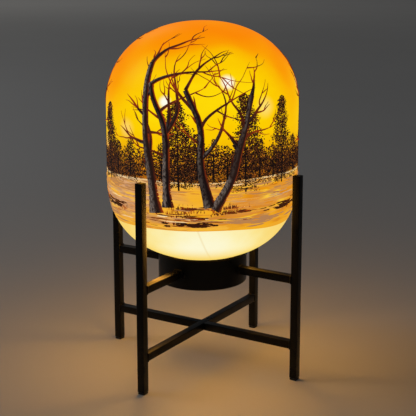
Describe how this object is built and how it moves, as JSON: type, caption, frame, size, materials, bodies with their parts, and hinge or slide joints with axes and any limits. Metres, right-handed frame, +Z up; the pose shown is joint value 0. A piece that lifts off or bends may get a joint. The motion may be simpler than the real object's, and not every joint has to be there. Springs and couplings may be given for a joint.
{
  "type": "battery table lantern",
  "caption": "Battery table lantern: a painted frosted glass capsule shade lit from inside by a light string, in a cup on a four-legged square-bar stand.",
  "frame": {"origin": "on the floor, at the middle of the four feet, under the lantern's axis", "axes": "+Z up along the lantern's axis; the stand's legs stand on -Y (front), +X (right), +Y (back) and -X (left)"},
  "size_m": [0.1746, 0.1746, 0.2751],
  "materials": {
    "stand_coat": "satin black powder coat",
    "foot_rubber": "matte black moulded rubber",
    "gasket_rubber": "matte black rubber",
    "painted_glass": "frosted glass, painted by hand on the outside and lit from inside",
    "clear_silicone": "translucent silicone",
    "housing_plastic": "fine-textured black ABS",
    "screw_zinc": "zinc-plated steel",
    "cell_wrap": "plain printed cell sleeve, no lettering",
    "contact_nickel": "nickel-plated spring steel",
    "board_green": "green solder mask",
    "chip_black": "moulded epoxy",
    "string_copper": "varnished copper wire",
    "light_resin": "clear resin drop over a warm white light"
  },
  "bodies": {
    "stand": {"leg_front": "stand_coat", "leg_right": "stand_coat", "leg_back": "stand_coat", "leg_left": "stand_coat", "foot_pad_front": "foot_rubber", "foot_pad_right": "foot_rubber", "foot_pad_back": "foot_rubber", "foot_pad_left": "foot_rubber", "arm_front": "stand_coat", "arm_right": "stand_coat", "arm_back": "stand_coat", "arm_left": "stand_coat", "brace_long": "stand_coat", "brace_right": "stand_coat", "brace_left": "stand_coat", "cup_shell": "stand_coat"},
    "light_unit": {"glass_shade": "painted_glass", "neck_gasket": "clear_silicone", "rim_gasket": "gasket_rubber", "housing_base": "housing_plastic", "housing_cover": "housing_plastic", "housing_screw_1": "screw_zinc", "housing_screw_2": "screw_zinc", "housing_screw_3": "screw_zinc", "battery_1": "cell_wrap", "battery_2": "cell_wrap", "battery_3": "cell_wrap", "battery_spring_1": "contact_nickel", "battery_spring_2": "contact_nickel", "battery_spring_3": "contact_nickel", "contact_negative": "contact_nickel", "contact_positive": "contact_nickel", "contact_bridge_right": "contact_nickel", "contact_bridge_left": "contact_nickel", "circuit_board": "board_green", "timer_chip": "chip_black", "switch_body": "contact_nickel", "wire_grommet": "clear_silicone", "led_wire": "string_copper", "led_bead_01": "light_resin", "led_bead_02": "light_resin", "led_bead_03": "light_resin", "led_bead_04": "light_resin", "led_bead_05": "light_resin", "led_bead_06": "light_resin", "led_bead_07": "light_resin", "led_bead_08": "light_resin", "led_bead_09": "light_resin", "led_bead_10": "light_resin", "led_bead_11": "light_resin", "led_bead_12": "light_resin"},
    "battery_door": {"battery_door": "housing_plastic"},
    "switch_slider": {"switch_slider": "housing_plastic"}
  },
  "joints": [
    {"name": "lantern_lift", "type": "slide", "parent": "stand", "child": "light_unit", "axis": [0, 0, 1], "range_m": [0, 0.1]},
    {"name": "battery_door_hinge", "type": "hinge", "parent": "light_unit", "child": "battery_door", "pos_m": [0, 0.01545, 0.0712], "axis": [1, 0, 0], "range_deg": [0, 90]},
    {"name": "switch_slide", "type": "slide", "parent": "light_unit", "child": "switch_slider", "axis": [1, 0, 0], "range_m": [-0.002, 0.002]}
  ]
}
